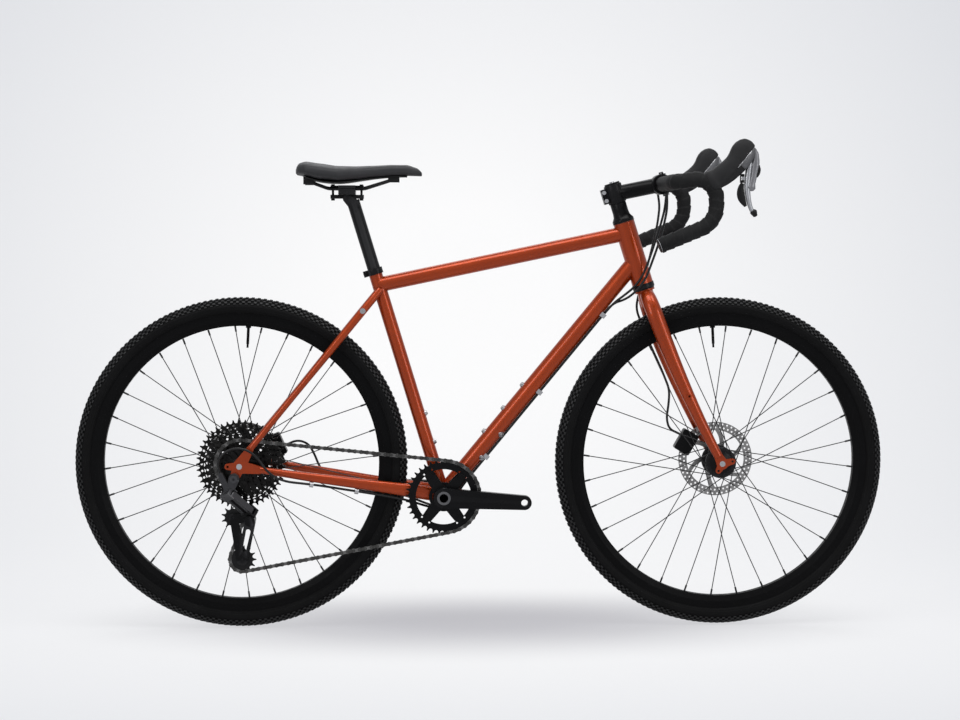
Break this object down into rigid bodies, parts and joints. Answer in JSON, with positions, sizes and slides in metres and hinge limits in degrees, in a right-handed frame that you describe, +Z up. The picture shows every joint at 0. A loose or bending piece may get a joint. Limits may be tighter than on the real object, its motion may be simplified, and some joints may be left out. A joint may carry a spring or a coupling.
{
  "type": "gravel bike",
  "caption": "Drop-bar gravel bike with a slim tubular frame, disc brakes, knobbed tyres and a single chainring drivetrain.",
  "frame": {"origin": "on the ground midway between the wheel contacts", "axes": "+X forward, +Y to the rider's left, +Z up"},
  "size_m": [1.7178, 0.4742, 1.024],
  "materials": {
    "frame_paint": "gloss metallic burnt orange",
    "black_alloy": "satin black anodised",
    "grey_alloy": "dark grey anodised",
    "silver_steel": "brushed",
    "dark_steel": "oiled dark steel",
    "spoke_steel": "black steel",
    "lever_alloy": "satin silver",
    "black_plastic": "moulded black",
    "tyre_rubber": "knobbed black",
    "grip_rubber": "matte grained",
    "saddle_skin": "matte black",
    "cable_housing": "smooth black"
  },
  "bodies": {
    "frame": {"head_tube": "frame_paint", "bottom_bracket_shell": "frame_paint", "seat_tube": "frame_paint", "top_tube": "frame_paint", "down_tube": "frame_paint", "rear_dropouts": "frame_paint", "chainstays": "frame_paint", "seatstays": "frame_paint", "seat_collar": "black_alloy", "bottom_bracket_cups": "black_alloy", "headset_cups": "black_alloy", "rear_axle": "silver_steel", "frame_fittings": "silver_steel", "frame_cables": "cable_housing", "steering_cables": "cable_housing", "chain": "dark_steel", "derailleur_mount": "grey_alloy", "rear_brake_caliper": "black_alloy"},
    "fork": {"fork_crown": "frame_paint", "fork_blades": "frame_paint", "front_axle": "silver_steel", "headset_spacers": "black_alloy", "stem": "black_alloy", "stem_faceplate": "black_alloy", "stem_bolts": "silver_steel", "handlebar": "black_alloy", "bar_tape": "grip_rubber", "brake_hoods": "grip_rubber", "lever_brackets": "black_alloy", "front_brake_caliper": "black_alloy", "front_brake_hose": "cable_housing"},
    "front_wheel": {"front_tyre": "tyre_rubber", "front_rim": "black_alloy", "front_spokes": "spoke_steel", "front_hub": "black_alloy", "front_rotor": "silver_steel"},
    "rear_wheel": {"rear_tyre": "tyre_rubber", "rear_rim": "black_alloy", "rear_spokes": "spoke_steel", "rear_hub": "black_alloy", "rear_rotor": "silver_steel"},
    "cassette": {"cassette_sprockets": "dark_steel", "freehub_body": "black_alloy"},
    "crankset": {"right_crank_arm": "black_alloy", "left_crank_arm": "black_alloy", "chainring": "black_alloy"},
    "seatpost": {"seatpost": "black_alloy", "saddle_clamp": "black_alloy"},
    "saddle": {"saddle_cover": "saddle_skin", "saddle_base": "black_plastic", "saddle_rails": "silver_steel"},
    "right_lever": {"right_brake_lever": "lever_alloy"},
    "left_lever": {"left_brake_lever": "lever_alloy"},
    "shift_paddle": {"right_shift_paddle": "black_plastic"},
    "outer_link": {"derailleur_outer_link": "grey_alloy"},
    "inner_link": {"derailleur_inner_link": "grey_alloy"},
    "knuckle": {"derailleur_knuckle": "black_alloy"},
    "cage": {"derailleur_cage": "black_alloy"},
    "guide_wheel": {"guide_pulley": "black_plastic"},
    "tension_wheel": {"tension_pulley": "black_plastic"}
  },
  "joints": [
    {"name": "steering", "type": "hinge", "parent": "frame", "child": "fork", "pos_m": [0.34646, 0, 0.71802], "axis": [-0.3024, 0, 0.9532], "range_deg": [-60, 60], "deforming": ["steering_cables"]},
    {"name": "front_wheel_spin", "type": "hinge", "parent": "fork", "child": "front_wheel", "pos_m": [0.508, 0, 0.351], "axis": [0, 1, 0], "continuous": true},
    {"name": "rear_wheel_spin", "type": "hinge", "parent": "frame", "child": "rear_wheel", "pos_m": [-0.508, 0, 0.351], "axis": [0, 1, 0], "continuous": true},
    {"name": "crank_spin", "type": "hinge", "parent": "frame", "child": "crankset", "pos_m": [-0.08155, 0, 0.282], "axis": [0, 1, 0], "continuous": true, "deforming": ["chain"]},
    {"name": "cassette_spin", "type": "hinge", "parent": "frame", "child": "cassette", "pos_m": [-0.508, 0, 0.351], "axis": [0, 1, 0], "continuous": true},
    {"name": "seatpost_height", "type": "slide", "parent": "frame", "child": "seatpost", "axis": [-0.2924, 0, 0.9563], "range_m": [-0.08, 0.05]},
    {"name": "saddle_fore_aft", "type": "slide", "parent": "seatpost", "child": "saddle", "axis": [1, 0, 0], "range_m": [-0.01, 0.01]},
    {"name": "right_brake_pull", "type": "hinge", "parent": "fork", "child": "right_lever", "pos_m": [0.51217, -0.22, 0.97775], "axis": [0, 1, 0], "range_deg": [0, 20], "stiffness_Nm_per_rad": 3},
    {"name": "left_brake_pull", "type": "hinge", "parent": "fork", "child": "left_lever", "pos_m": [0.51217, 0.22, 0.97775], "axis": [0, 1, 0], "range_deg": [0, 20], "stiffness_Nm_per_rad": 3},
    {"name": "shift_press", "type": "hinge", "parent": "right_lever", "child": "shift_paddle", "pos_m": [0.51517, -0.22, 0.94775], "axis": [0, 0, -1], "range_deg": [0, 12], "stiffness_Nm_per_rad": 0.6},
    {"name": "derailleur_shift", "type": "hinge", "parent": "frame", "child": "outer_link", "pos_m": [-0.52105, -0.09005, 0.295], "axis": [-0.3413, -0.6646, -0.6646], "range_deg": [-20, 30], "deforming": ["chain"]},
    {"name": "inner_link_shift", "type": "hinge", "parent": "frame", "child": "inner_link", "pos_m": [-0.53295, -0.07795, 0.289], "axis": [-0.3413, -0.6646, -0.6646], "range_deg": [-20, 30]},
    {"name": "knuckle_shift", "type": "hinge", "parent": "outer_link", "child": "knuckle", "pos_m": [-0.48405, -0.07205, 0.258], "axis": [-0.3413, -0.6646, -0.6646], "range_deg": [-30, 20]},
    {"name": "cage_swing", "type": "hinge", "parent": "knuckle", "child": "cage", "pos_m": [-0.487, 0, 0.236], "axis": [0, 1, 0], "range_deg": [-25, 20], "stiffness_Nm_per_rad": 4, "deforming": ["chain"]},
    {"name": "guide_wheel_spin", "type": "hinge", "parent": "cage", "child": "guide_wheel", "pos_m": [-0.52298, 0, 0.24017], "axis": [0, 1, 0], "continuous": true},
    {"name": "tension_wheel_spin", "type": "hinge", "parent": "cage", "child": "tension_wheel", "pos_m": [-0.5054, 0, 0.15109], "axis": [0, 1, 0], "continuous": true}
  ],
  "couplings": [
    {"joint": "cassette_spin", "follows": "crank_spin", "ratio": 1.4615},
    {"joint": "guide_wheel_spin", "follows": "crank_spin", "ratio": -3.4545},
    {"joint": "tension_wheel_spin", "follows": "crank_spin", "ratio": 2.9231},
    {"joint": "inner_link_shift", "follows": "derailleur_shift", "ratio": 1},
    {"joint": "knuckle_shift", "follows": "derailleur_shift", "ratio": -1}
  ]
}
